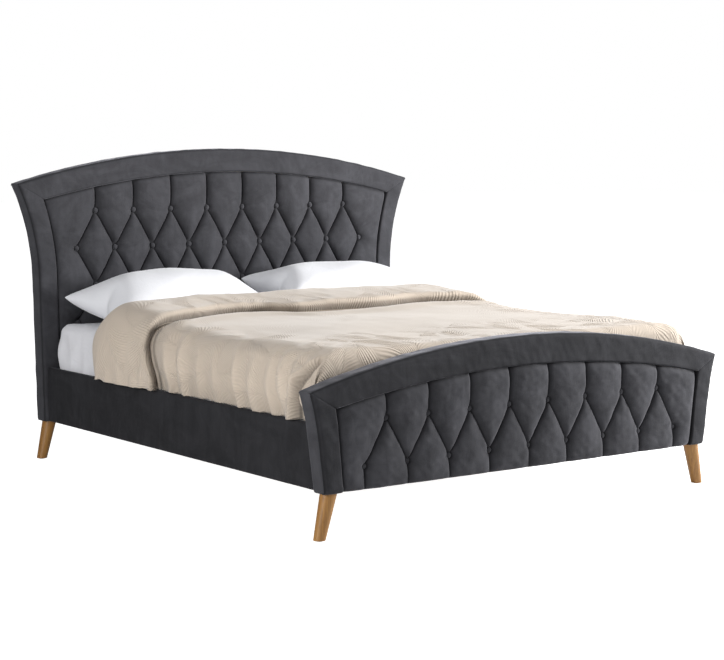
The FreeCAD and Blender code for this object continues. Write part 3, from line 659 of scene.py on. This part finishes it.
def border(board, side):
    """A padded border: side is -1 or 1, or 0 for the top one. Its ends at the top corners are mitred."""
    front = BOARDS[board]["front"]
    panel, outer = outline(board, "panel", -0.0002), outline(board, "outer")
    step, across = 0.005, smooth_steps(26)
    if side == 0:
        t, b = np.meshgrid(np.linspace(-1, 1, int(2 * outer.corner / step)), across)
        inner_x, outer_x = t * panel.corner, t * outer.corner
        inner_z, outer_z = panel.top(inner_x), outer.top(outer_x)
        width = outer.apex - panel.apex
        ends = (1 - np.abs(t)) * outer.corner * 0.8
    else:
        height = outer.corner_z - BOARD_BOTTOM
        b, t = np.meshgrid(across, np.linspace(0, 1, int(height / step)))
        inner_z, outer_z = BOARD_BOTTOM + t * (panel.corner_z - BOARD_BOTTOM), BOARD_BOTTOM + t * height
        inner_x, outer_x = panel.half(inner_z), outer.half(outer_z)
        width = outer.low - panel.low
        ends = (1 - t) * height
    x, z = inner_x + (outer_x - inner_x) * b, inner_z + (outer_z - inner_z) * b
    inner, edge = b * width, (1 - b) * width
    depth = 0.007 * fade(inner, 0.003, 1.3) + 0.0015 * fade(inner, 0.016)
    depth += 0.0085 * fade(edge, 0.0050, 1.2) + 0.002 * fade(edge, 0.014) + 0.0014 * fade(ends, 0.003) - 0.003
    if side:
        depth += 0.009 * fade(z - BOARD_BOTTOM, 0.004)
    # painted shade, handed to the velvet as its fold value: dark along the seams at the border's inner and outer
    # edges
    dark = np.maximum(bell(inner, 0.0045), 0.95 * bell(edge, 0.0045))
    if side < 0:
        x, z, depth, dark = -x[:, ::-1], z[:, ::-1], depth[:, ::-1], dark[:, ::-1]
    cloth = np.stack([x, z], -1)
    depth = depth + 0.0007 * waves(cloth, 0.11, 21) + 0.0004 * waves(cloth, 0.035, 22)
    points, faces = backed_pad(np.stack([x, front + depth, z], -1), front + PAD_DEPTH)
    make_piece(board + "board_" + ("top", "right", "left")[side] + "_border", points, faces, "velvet", 0.8,
               cloth=BOARDS[board]["border_cloth"], fold=dark)


def edge_cover(board):
    """The cloth round the board's edge: up one side, over the arch and down the other, with a seam at each edge."""
    outer = outline(board, "outer")
    step = 0.008
    heights = np.linspace(BOARD_BOTTOM, outer.corner_z, int((outer.corner_z - BOARD_BOTTOM) / step))
    spans = np.linspace(-outer.corner, outer.corner, int(2 * outer.corner / step))
    runs = [
        np.stack([-outer.half(heights), heights], -1),
        np.stack([spans, outer.top(spans)], -1),
        np.stack([outer.half(heights[::-1]), heights[::-1]], -1),
    ]
    across = smooth_steps(22)
    depth_y = BOARDS[board]["front"] + 0.0065 + across * (BOARD_THICK - 0.0085)
    near, far = across * BOARD_THICK, (1 - across) * BOARD_THICK
    proud = 0.0022 - 0.006 * fade(near, 0.0035) - 0.006 * fade(far, 0.0035)
    points, faces, start = [], [], 0
    for number, run in enumerate(runs):
        way = np.gradient(run, axis=0)
        way /= np.linalg.norm(way, axis=1)[:, None]
        out = np.stack([-way[:, 1], way[:, 0]], -1)
        length = np.linspace(0, 1, len(run)) * len(run) * step
        y, along = np.meshgrid(depth_y, length)
        rumple = 0.0008 * waves(np.stack([along, y], -1), 0.09, 31 + number)
        closing = 0.003 * fade(np.minimum(length, length[-1] - length), 0.004)
        layers = []
        for offset in (proud + rumple - closing[:, None], np.full_like(y, -0.0078)):
            place = run[:, None] + out[:, None] * offset[..., None]
            layers.append(np.stack([place[..., 0], y, place[..., 1]], -1))
        sheet, groups = closed_sheet(*layers)
        points.append(sheet)
        faces += [group + start for group in groups]
        start += len(sheet)
    make_piece(board + "board_edge_cover", np.vstack(points), faces, "velvet", 0.5)


def back_cover(board):
    """The cloth over the back: nearly flat, drawn in along its stitched edge, with slack ripples."""
    info = BOARDS[board]
    shape = outline(board, "outer", 0.004)
    x, z = spread_over(shape, np.linspace(-1, 1, 240), np.linspace(0, 1, info["back_rows"]))
    edge = np.minimum.reduce([shape.half(z) - np.abs(x), shape.top(x) - z, z - BOARD_BOTTOM])
    cloth = np.stack([x, z], -1)
    ripple = 0.0010 * waves(cloth, 0.30, 41) + 0.0005 * waves(cloth, 0.10, 42)
    pucker = 0.0008 * np.sin(x * TURN / 0.031 + np.sin(x * 40)) * fade(edge, 0.02)
    back = info["front"] + BOARD_THICK
    y = back + 0.0010 - 0.0045 * fade(edge, 0.006) + (ripple + pucker) * smooth(edge, 0.0, 0.04)
    points, faces = backed_pad(np.stack([x, y, z], -1)[:, ::-1], back - 0.005)
    make_piece(board + "board_back_cover", points, faces, "velvet", 0.4)


def rail_cover(side):
    """A side rail's padded wrap: rounded long edges, slightly slack cloth."""
    name = side + "_rail_cover"
    low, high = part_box(name)
    radius, rows = 0.0105, 240
    half_x, half_z = (high.x - low.x) / 2, (high.z - low.z) / 2
    centre_x, centre_z = (high.x + low.x) / 2, (high.z + low.z) / 2
    ring = rounded_ring(half_x, half_z, radius, 7, 0.012)
    cols = len(ring)
    x, y = np.meshgrid(ring[:, 0], np.linspace(low.y, high.y, rows))
    z = np.repeat(ring[None, :, 1], rows, 0)
    cloth = np.stack([y, z], -1)
    sag = 0.0012 * waves(cloth, 0.32, 51) + 0.0007 * waves(cloth * (1, 0.5), 0.09, 52)
    pucker = 0.0007 * np.sin(y * TURN / 0.045 + 2 * np.sin(y * 9)) * fade(z + half_z, 0.03)
    ends = smooth(np.minimum(y - low.y, high.y - y), 0.0, 0.02)
    swell = (sag + pucker) * ends + 0.0008
    x = x + np.sign(x) * swell * smooth(np.abs(x), half_x - radius, half_x)
    points = np.stack([centre_x + x, y, centre_z + z], -1).reshape(-1, 3)
    faces = [grid_quads(rows, cols, wrap=True, flip=True), np.arange(cols), (rows - 1) * cols + np.arange(cols)[::-1]]
    # the rails take the darker velvet copy: nap laid down, and painted shade
    make_piece(name, points, faces, "velvet", 0.6, cloth="nap_down_shaded_velvet")


for board in BOARDS:
    tufted_pad(board)
    covered_buttons(board)
    for side in (-1, 1, 0):
        border(board, side)
    edge_cover(board)
    back_cover(board)
for side in SIDES:
    rail_cover(side)


# Bedding ----------------------------------------


def mattress():
    """A deep mattress in a fitted sheet: softly bulging sides, rounded rims, slack creases at the corners."""
    low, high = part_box("mattress")
    depth, rim = high.z - low.z, 0.034
    ring = rounded_ring(high.x, high.y, 0.070, 12, 0.0199)
    out = np.roll(ring, -1, 0) - np.roll(ring, 1, 0)
    out = np.stack([out[:, 1], -out[:, 0]], -1) / np.linalg.norm(out, axis=1)[:, None]
    # The rings' heights and insets, from the underside's rim up the wall to the top's rim.
    quarter, share = np.linspace(0, math.pi / 2, 7), np.linspace(0, 1, 16)[1:-1]
    rise = np.r_[rim * (1 - np.cos(quarter)), rim + (depth - 2 * rim) * share, depth - rim * (1 - np.sin(quarter))]
    inset = np.r_[rim * (1 - np.sin(quarter)), -0.006 * np.sin(math.pi * share), rim * (1 - np.cos(quarter))]
    under, over = (0.15, 0.45, 0.75, 0.92), (0.985, 0.96, 0.92, 0.86, 0.75, 0.6, 0.45, 0.3, 0.15)
    layers = [(ring - out * rim) * shrink for shrink in under]
    layers += [ring - out * step for step in inset]
    layers += [(ring - out * rim) * shrink for shrink in over]
    heights = np.r_[np.zeros(len(under)), rise, np.full(len(over), depth)][:, None]
    xy, count, cols = np.array(layers), len(layers), len(ring)
    place = np.dstack([xy, low.z + np.repeat(heights, cols, 1)])
    near_corner = smooth(np.abs(xy).sum(-1), high.x + high.y - 0.45, high.x + high.y - 0.05)
    creases = waves(place * (1, 1, 0.35), 0.055, 61)
    slack = waves(place * (1, 1, 0.5), 0.25, 62)
    wall = fade(heights / depth - 0.55, 0.42, 4)
    bare = smooth(xy[..., 1], 0.35, 0.62)            # past the duvet's head end the sheet is rumpled
    push = (0.0012 + bare * (0.0018 + 0.0045 * near_corner)) * creases + (0.001 + 0.003 * bare) * slack
    place[..., :2] += out * (wall * push)[..., None]
    place[..., 2] += (heights > 0.99 * depth) * bare * (0.0020 * slack + 0.0012 * creases)
    faces = [grid_quads(count, cols, wrap=True), np.arange(cols)[::-1], (count - 1) * cols + np.arange(cols)]
    make_piece("mattress", place.reshape(-1, 3), faces, "mattress_sheet", 0.9)


def flat_case(length, width, step):
    """A flat pillowcase: two grids sewn together round their edge."""
    cols, rows = int(length / step) + 1, int(width / step) + 1
    u, v = np.meshgrid(np.linspace(-1, 1, cols), np.linspace(-1, 1, rows))
    inside = (1 - u ** 8) * (1 - v ** 8)
    pull = 1 - 0.035 * (1 - u ** 2) * np.abs(v) ** 3
    x, y = u * length / 2 * (1 - 0.03 * (1 - v ** 2) * np.abs(u) ** 3), v * width / 2 * pull
    top = np.stack([x, y, 0.012 * inside], -1).reshape(-1, 3)
    bottom = np.stack([x, y, -0.012 * inside], -1).reshape(-1, 3)
    rim = rim_of(rows, cols)
    number = np.full(rows * cols, -1)
    number[rim] = rim
    inner = np.flatnonzero(number < 0)
    number[inner] = rows * cols + np.arange(len(inner))
    quads = grid_quads(rows, cols)
    return np.vstack([top, bottom[inner]]), np.vstack([quads, number[quads][:, ::-1]])


def inflate(name, points, quads, pressure, frames):
    """Blows a flat case up by cloth simulation and returns the points it ends with."""
    mesh = bpy.data.meshes.new(name + "_case")
    mesh.from_pydata(points.tolist(), [], quads.tolist())
    case = bpy.data.objects.new(name + "_case", mesh)
    bpy.context.scene.collection.objects.link(case)
    cloth = case.modifiers.new("Cloth", "CLOTH")
    sets = cloth.settings
    sets.quality = 6
    sets.mass = 0.25
    sets.tension_stiffness = sets.compression_stiffness = 28
    sets.shear_stiffness = 14
    sets.bending_stiffness = 0.35
    sets.use_pressure = True
    sets.uniform_pressure_force = pressure
    sets.effector_weights.gravity = 0
    sets.air_damping = 3
    cloth.point_cache.frame_start, cloth.point_cache.frame_end = 1, frames
    for number in range(1, frames + 1):
        bpy.context.scene.frame_set(number)
    blown = case.evaluated_get(bpy.context.evaluated_depsgraph_get())
    found = np.empty(len(points) * 3)
    blown.data.vertices.foreach_get("co", found)
    bpy.data.objects.remove(case)
    return found.reshape(-1, 3)


def relaxed(points, quads, rounds):
    """The points, each moved a few times halfway to the mean of its neighbours."""
    pairs = np.concatenate([quads[:, [0, 1]], quads[:, [1, 2]], quads[:, [2, 3]], quads[:, [3, 0]]])
    count = np.bincount(pairs.ravel(), minlength=len(points))[:, None]
    for _ in range(rounds):
        total = np.zeros_like(points)
        np.add.at(total, pairs[:, 0], points[pairs[:, 1]])
        np.add.at(total, pairs[:, 1], points[pairs[:, 0]])
        points = (points + total / count) / 2
    return points


PILLOW_CASE = (0.93, 0.56)               # its length and width when flat
PILLOW_SIZE = (0.796, 0.475, 0.245)      # its length, width and height when filled
PILLOW_LEAN = 0.12                       # its back is tipped up against the headboard


def pillow(name, centre_x, turn, seed, outer_lift, inner_lift):
    """A filled pillow lying on the mattress against the headboard, its outer and inner ends raised a little."""
    low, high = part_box(name)
    case, quads = flat_case(*PILLOW_CASE, 0.016)
    blown = inflate(name, case, quads, pressure=9.0, frames=26)
    blown = relaxed(blown, quads, 10)
    blown = blown * (PILLOW_SIZE / np.ptp(blown, axis=0))
    blown[:, 2] *= 1.02 - 0.26 * (np.abs(blown[:, 0]) / 0.405) ** 3.5
    x, y, z = blown.T
    away = np.clip(np.sign(centre_x) * x / 0.45, -1, 1)
    z = z + 0.008 * waves(np.stack([x, y], -1), 0.30, seed) * (1 - (y / 0.25) ** 2)
    z = z + outer_lift * smooth(away, 0.1, 1.0) ** 1.5 + inner_lift * smooth(-away, 0.2, 1.0)
    y = y + 0.012 * waves(np.stack([x, z], -1), 0.35, seed + 1)
    spin = Matrix.Rotation(turn, 3, "Z") @ Matrix.Rotation(PILLOW_LEAN, 3, "X")
    points = np.stack([x, y, z], -1) @ np.array(spin).T
    bed, soft_bed = low.z + 0.002, 0.028
    points += (centre_x, high.y - 0.225, bed + 0.104)
    sunk = bed + soft_bed - points[:, 2]
    points[:, 2] = np.where(sunk > 0, bed + soft_bed * fade(np.maximum(sunk, 0), soft_bed), points[:, 2])
    wall, soft_wall = high.y + 0.006, 0.03
    back = points[:, 1] - (wall - soft_wall)
    points[:, 1] = np.where(back > 0, wall - soft_wall * fade(np.maximum(back, 0), soft_wall), points[:, 1])
    piece = make_piece(name, points, [quads], "pillow_cotton", 0.7, sharp=180)
    finer = piece.modifiers.new("finer", "SUBSURF")
    finer.levels = finer.render_levels = 1


# The duvet, as distances over its surface from the bed's middle: s across and t along.
DUVET_TOP = 0.662
HALF_FLAT, ROUND = 0.770, 0.160          # half its flat top, and the rounding down to its sides
HEM = 0.412
SPAN = HALF_FLAT + ROUND * math.pi / 2 + DUVET_TOP - ROUND - HEM
FOOT_END, FOOT_ROUND = -1.014, 0.050
RAIL_TOP = 0.4095                        # nothing of it hangs lower


def section(s):
    """Across the bed: the sideways position, the drop below the top, and the outward direction."""
    a = np.abs(s)
    turn = np.clip((a - HALF_FLAT) / ROUND, 0, math.pi / 2)
    extra = np.maximum(a - HALF_FLAT - ROUND * math.pi / 2, 0)
    full = 2 / 2.5                                   # a little squarer than a circle, to clear the mattress
    x = np.minimum(a, HALF_FLAT) + ROUND * np.sin(turn) ** full
    drop = ROUND * (1 - np.cos(turn) ** full) + extra
    return np.sign(s) * x, drop, np.sign(s) * np.sin(turn), np.cos(turn)


def lengthways(t):
    """Along the bed from the foot: the position, the drop behind the footboard and the outward direction."""
    straight = FOOT_END + FOOT_ROUND
    turn = np.clip((straight - t) / FOOT_ROUND, 0, math.pi / 2)
    extra = np.maximum(straight - t - FOOT_ROUND * math.pi / 2, 0)
    y = np.maximum(t, straight) - FOOT_ROUND * np.sin(turn)
    return y, FOOT_ROUND * (1 - np.cos(turn)) + extra, -np.sin(turn), np.cos(turn)


def ridges(t, seed, start, stop, pitch, width):
    """Rounded folds at uneven spacing along t, from about 0 to 1."""
    draw = np.random.default_rng(seed)
    total, at = np.zeros_like(t), start
    while at < stop:
        size = draw.uniform(0.45, 1.0)
        wide = width * draw.uniform(0.7, 1.5)
        total += size * np.exp(-((t - at) / wide) ** 2)
        at += pitch * draw.uniform(0.55, 1.5)
    return total


def crease_at(s):
    """How far up the bed the turned-down band's front edge lies."""
    along = [-1.07, -0.98, -0.93, -0.80, -0.60, -0.40, -0.24, -0.12, 0.05, 0.30, 0.55, 0.80, 0.95, 1.07]
    reach = [0.06, 0.125, 0.145, 0.19, 0.285, 0.375, 0.375, 0.27, 0.27, 0.245, 0.30, 0.24, 0.16, 0.08]
    return lerp(s, along, reach)


def head_end(s):
    """Where the band ends towards the pillows."""
    return lerp(s, [-1.07, -1.0, -0.92, -0.82, -0.5, 0.0, 0.5, 0.85, 0.95, 1.07],
                [0.56, 0.60, 0.58, 0.60, 0.655, 0.67, 0.68, 0.665, 0.62, 0.57])


def duvet_base(s, t, lift):
    """A point lift above the duvet's resting surface."""
    x, drop_x, nx, nz = section(s)
    y, drop_y, ny, nw = lengthways(t)
    drop = (drop_x ** 4 + drop_y ** 4) ** 0.25
    z = DUVET_TOP - drop
    up = nz * nw
    norm = np.sqrt(nx ** 2 + ny ** 2 + up ** 2) + 1e-6
    return np.stack([x + lift * nx / norm, y + lift * ny / norm, z + lift * up / norm], -1)


def duvet_spread():
    """The duvet from the footboard up to its head end, hanging down both sides."""
    step, foot, head = 0.0092, -1.19, 0.56
    s, t = np.meshgrid(np.linspace(-SPAN, SPAN, int(2 * SPAN / step)),
                       np.linspace(foot, head, int((head - foot) / step)))
    cloth, wide = np.stack([s, t], -1), np.abs(s)
    slant = t + 0.35 * (wide - 0.95) + 0.015 * waves(cloth, 0.3, 71)

    def ridges_by_side(seed, pitches, widths):
        pair = [ridges(slant, seed + k, -1.1, 0.6, pitches[k], widths[k]) for k in (0, 1)]
        return np.where(s < 0, *pair)

    folded = ridges_by_side(72, (0.115, 0.12), (0.026, 0.028))
    small = ridges_by_side(74, (0.045, 0.045), (0.010, 0.010))
    hang, hem = smooth(wide, 0.76, SPAN - 0.02), smooth(wide, SPAN - 0.11, SPAN)
    rough = smooth(wide, 0.60, 0.95)
    lift = (0.0035 + 0.003 * rough) * waves(cloth, 0.55, 76) + (0.0004 + 0.0024 * rough) * waves(cloth, 0.15, 77)
    lift += 0.0010 * rough * waves(cloth, 0.05, 78)
    lift += hang * (0.026 * (folded - 0.50)) + hem * 0.010 * (small - 0.6)
    lift -= 0.006 * hem ** 2
    to_crease = crease_at(s) - t
    lift += 0.012 * bell(to_crease - 0.085, 0.06) - 0.020 * smooth(-to_crease, -0.035, 0.01)
    # Beside the footboard's corners it is tucked in: a groove with a lip behind it.
    tuck = t + 0.915 + 0.085 * smooth(1.03 - wide, 0.0, 0.14)
    groove = bell(tuck, 0.013) * smooth(wide, 0.86, 0.93)
    lift += 0.022 * bell(tuck - 0.035, 0.022) * smooth(wide, 0.84, 0.96) - 0.030 * groove
    lift = np.maximum(lift, -0.012)
    surface = duvet_base(s, t, lift)
    surface[..., 2] += hem * (0.004 * waves(cloth, 0.16, 79) + 0.004 * (small - 1))
    surface[..., 2] = np.maximum(surface[..., 2], RAIL_TOP)
    under = duvet_base(s * 0.992, t * 0.998 + 0.001, np.full_like(lift, -0.021))
    under[..., 2] = np.maximum(under[..., 2], RAIL_TOP + 0.001)
    points, faces = closed_sheet(surface, under)
    worked = 0.14 + 0.86 * np.maximum(smooth(wide, 0.55, 0.85), smooth(-t, 0.45, 0.85))
    worked = worked * (0.75 + 0.25 * waves(cloth, 0.5, 80))
    shade = 0.60 * bell(to_crease + 0.004, 0.010) + 0.10 * fade(np.maximum(to_crease, 0), 0.04)
    shade += 0.22 * hem ** 2 + 0.16 * hang * (1 - np.minimum(folded, 1)) + 0.7 * groove
    make_piece("duvet_spread", points, faces, "duvet_cotton", 0.5, "duvet", sharp=180, flat=twice_flat(cloth),
               fold=worked, shade=np.clip(shade, 0, 0.9))


def twice_flat(cloth):
    """Where both layers of a closed sheet lie on the flat cloth, as points with a third coordinate of 0."""
    flat = cloth.reshape(-1, 2)
    return np.pad(np.concatenate([flat, flat]), ((0, 0), (0, 1)))


def duvet_band():
    """The turned-down head end: a thick rounded band across the bed that also hangs down both sides."""
    across = np.linspace(-SPAN - 0.004, SPAN + 0.004, int(2 * SPAN / 0.009))
    s, lap = np.meshgrid(across, np.linspace(0, 1, 72))
    front, length = crease_at(across), head_end(across) - crease_at(across)
    # Over the top of the band, from its lip to its head end.
    depth = length * lap
    nose, fold_back = 0.046, 0.11

    def rounded(run, reach):
        return np.where(run < reach, np.sqrt(np.clip(1 - (1 - run / reach) ** 2, 0, 1)), 1.0)

    rise, fall = rounded(depth, nose), rounded(length - depth, fold_back)
    side = smooth(np.abs(s), 0.74, 0.99)
    tall = 0.046 - 0.008 * side + (0.022 - 0.014 * side) * smooth(depth / length, 0.05, 0.72)
    cloth = np.stack([s, front + depth], -1)
    hem = smooth(np.abs(s), SPAN - 0.12, SPAN)
    soft = 0.0040 * waves(cloth, 0.42, 81) + 0.0010 * waves(cloth, 0.14, 82) + 0.0003 * waves(cloth, 0.05, 83)
    ripples = ridges(s + 0.12 * waves(cloth, 0.3, 84), 85, -1.2, 1.2, 0.10, 0.03)
    soft += 0.005 * (ripples - 0.6) * fade(depth, 0.12)
    folded = ridges(front + depth, 86, -0.1, 0.7, 0.075, 0.02)
    top = tall * rise * (0.35 + 0.65 * fall) + (soft * rise + hem * 0.008 * (folded - 0.5)) * fall
    top = top - 0.055 * (1 - fall) * (1 - side) - 0.012 * (1 - fall)
    upper = duvet_base(s, front + depth, top)
    upper[..., 1] += 0.026 * (1 - rise) ** 1.5          # the lip rolls under
    lower = duvet_base(s * 0.997, front + np.maximum(depth, 0.034), np.minimum(-0.006, top - 0.004))
    for layer in (upper, lower):
        layer[..., 2] += hem * 0.008 * waves(cloth, 0.14, 87)
        layer[..., 2] = np.maximum(layer[..., 2], RAIL_TOP - 0.0002)
    points, faces = closed_sheet(upper, lower)
    worked = 0.30 + 0.5 * fade(depth, 0.10) + 0.3 * side
    under_lip = 0.50 * bell(depth, 0.010) + 0.20 * fade(depth, 0.026)
    make_piece("duvet_band", points, faces, "duvet_cotton", 0.6, "duvet", sharp=180,
               flat=twice_flat(cloth + (3.1, 1.7)), fold=worked, shade=under_lip)


mattress()
pillow("left_pillow", -0.452, 0.02, 91, -0.020, 0.010)
pillow("right_pillow", 0.462, -0.01, 95, 0.004, 0.024)
duvet_spread()
duvet_band()


# Room, light and camera ----------------------------------------


def floor():
    s = Shader("pale_floor")
    colour = s.tones(s.noise(s.place(), 3, 3, 0.5), (0.78, 0.78, 0.78), (0.80, 0.80, 0.80))
    s.set(Roughness=0.9, Emission_Color=(1, 1, 1, 1), Specular_IOR_Level=0.1)
    seen = s.node("LightPath", "Is Camera Ray", {})
    s.feed(s.surface.inputs["Emission Strength"], s.math("MULTIPLY_ADD", seen, 0.90, 0.05))
    mesh = bpy.data.meshes.new("floor")
    reach = 30
    mesh.from_pydata([(-reach, -reach, 0), (reach, -reach, 0), (reach, reach, 0), (-reach, reach, 0)], [],
                     [(0, 1, 2, 3)])
    mesh.materials.append(s.done(colour))
    ground = bpy.data.objects.new("floor", mesh)
    bpy.context.scene.collection.objects.link(ground)


def area_light(name, at, target, size, power):
    """A square lamp of a size and power that shines at target."""
    lamp = bpy.data.lights.new(name, "AREA")
    lamp.shape, lamp.size, lamp.energy = "SQUARE", size, power
    holder = bpy.data.objects.new(name, lamp)
    holder.location = at
    holder.rotation_euler = (Vector(target) - Vector(at)).to_track_quat("-Z", "Y").to_euler()
    bpy.context.scene.collection.objects.link(holder)


def room():
    """Pure white where the camera sees past everything, dim white light from the same place, and four lamps."""
    world = bpy.data.worlds.new("studio")
    bpy.context.scene.world = world
    world.use_nodes = True
    nodes, links = world.node_tree.nodes, world.node_tree.links
    seen, soft = nodes["Background"], nodes.new("ShaderNodeBackground")
    seen.inputs[0].default_value, seen.inputs[1].default_value = (1, 1, 1, 1), 1.0
    soft.inputs[0].default_value, soft.inputs[1].default_value = (1.0, 1.0, 1.02, 1), 0.20
    path, either = nodes.new("ShaderNodeLightPath"), nodes.new("ShaderNodeMixShader")
    links.new(path.outputs["Is Camera Ray"], either.inputs[0])
    links.new(soft.outputs[0], either.inputs[1])
    links.new(seen.outputs[0], either.inputs[2])
    links.new(either.outputs[0], nodes["World Output"].inputs[0])
    area_light("key", (4.6, -2.2, 1.95), (0.0, 0.4, 0.7), 1.6, 480)
    area_light("top", (0.6, -0.9, 4.2), (0.0, 0.0, 0.6), 3.0, 32)
    area_light("fill", (-4.2, -1.3, 1.6), (-0.9, -0.6, 0.4), 1.6, 88)
    area_light("front", (-3.0, -6.6, 1.8), (0.0, -1.0, 0.4), 1.6, 14)
    bpy.context.scene.view_settings.view_transform = "Standard"
    bpy.context.scene.view_settings.look = "None"


def camera():
    yaw, pitch = 0.6354, 0.1024
    lens = bpy.data.cameras.new("camera")
    lens.sensor_width, lens.lens = 36, 93.83
    lens.clip_start, lens.clip_end = 0.1, 100
    view = bpy.data.objects.new("camera", lens)
    view.location = (-4.6958, -6.4028, 1.416)
    view.rotation_euler = (math.pi / 2 - pitch, 0, -yaw)
    bpy.context.scene.collection.objects.link(view)
    bpy.context.scene.camera = view


floor()
room()
camera()
